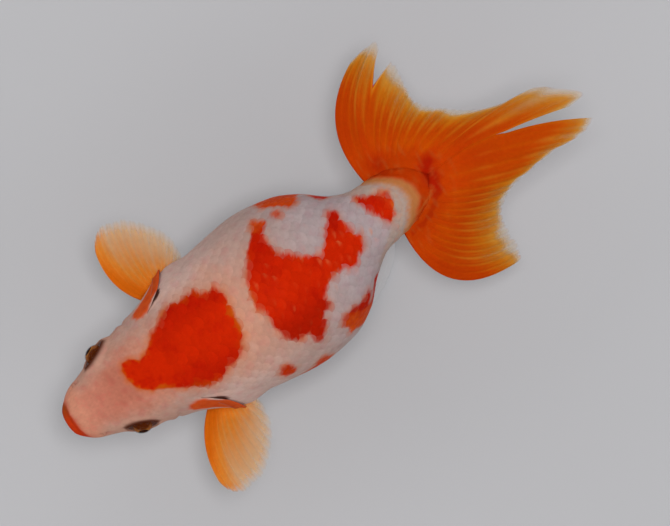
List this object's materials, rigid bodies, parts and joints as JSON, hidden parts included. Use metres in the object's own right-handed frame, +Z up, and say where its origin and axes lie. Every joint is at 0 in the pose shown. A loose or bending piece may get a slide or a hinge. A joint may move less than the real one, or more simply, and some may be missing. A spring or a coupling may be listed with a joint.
{
  "type": "goldfish model",
  "caption": "Life-size still model of an egg-bodied goldfish with no back fin and a spread four-lobed tail, red and white, held level on a low oval stand.",
  "frame": {"origin": "centre of the underside of the stand's oval base, on the surface it stands on", "axes": "+Z up; the fish faces -Y, its tail runs towards +Y; +X is the fish's own left"},
  "size_m": [0.0782, 0.1533, 0.0753],
  "materials": {
    "scaled_skin": "wet pearly scales, pinkish white with red-orange patches",
    "face_skin": "smooth wet skin of the head, salmon pink",
    "gill_skin": "wet skin over the gill plate, pink with a red rim",
    "red_skin": "wet red-orange skin",
    "eye": "wet eye: black pupil, dark amber iris, clear domed cornea",
    "paired_fin": "thin orange-yellow fin membrane over rays",
    "tail_fin": "thin orange tail membrane over rays, yellow and clearer at its edge",
    "stand_paint": "pale grey satin paint on steel",
    "stand_metal": "plain satin steel rod"
  },
  "bodies": {
    "root": {"head": "face_skin", "lip_upper": "red_skin", "lip_lower": "face_skin", "trunk": "scaled_skin", "tail_stem": "scaled_skin", "gill_cover_left": "gill_skin", "gill_cover_right": "gill_skin", "eye_left": "eye", "eye_right": "eye", "pectoral_fin_left": "paired_fin", "pectoral_fin_right": "paired_fin", "pelvic_fin_left": "paired_fin", "pelvic_fin_right": "paired_fin", "anal_fin_left": "paired_fin", "anal_fin_right": "paired_fin", "tail_lobe_upper_left": "tail_fin", "tail_lobe_upper_right": "tail_fin", "tail_lobe_lower_left": "tail_fin", "tail_lobe_lower_right": "tail_fin", "stand_base": "stand_paint", "stand_rod_front": "stand_metal", "stand_rod_rear": "stand_metal"}
  },
  "joints": []
}
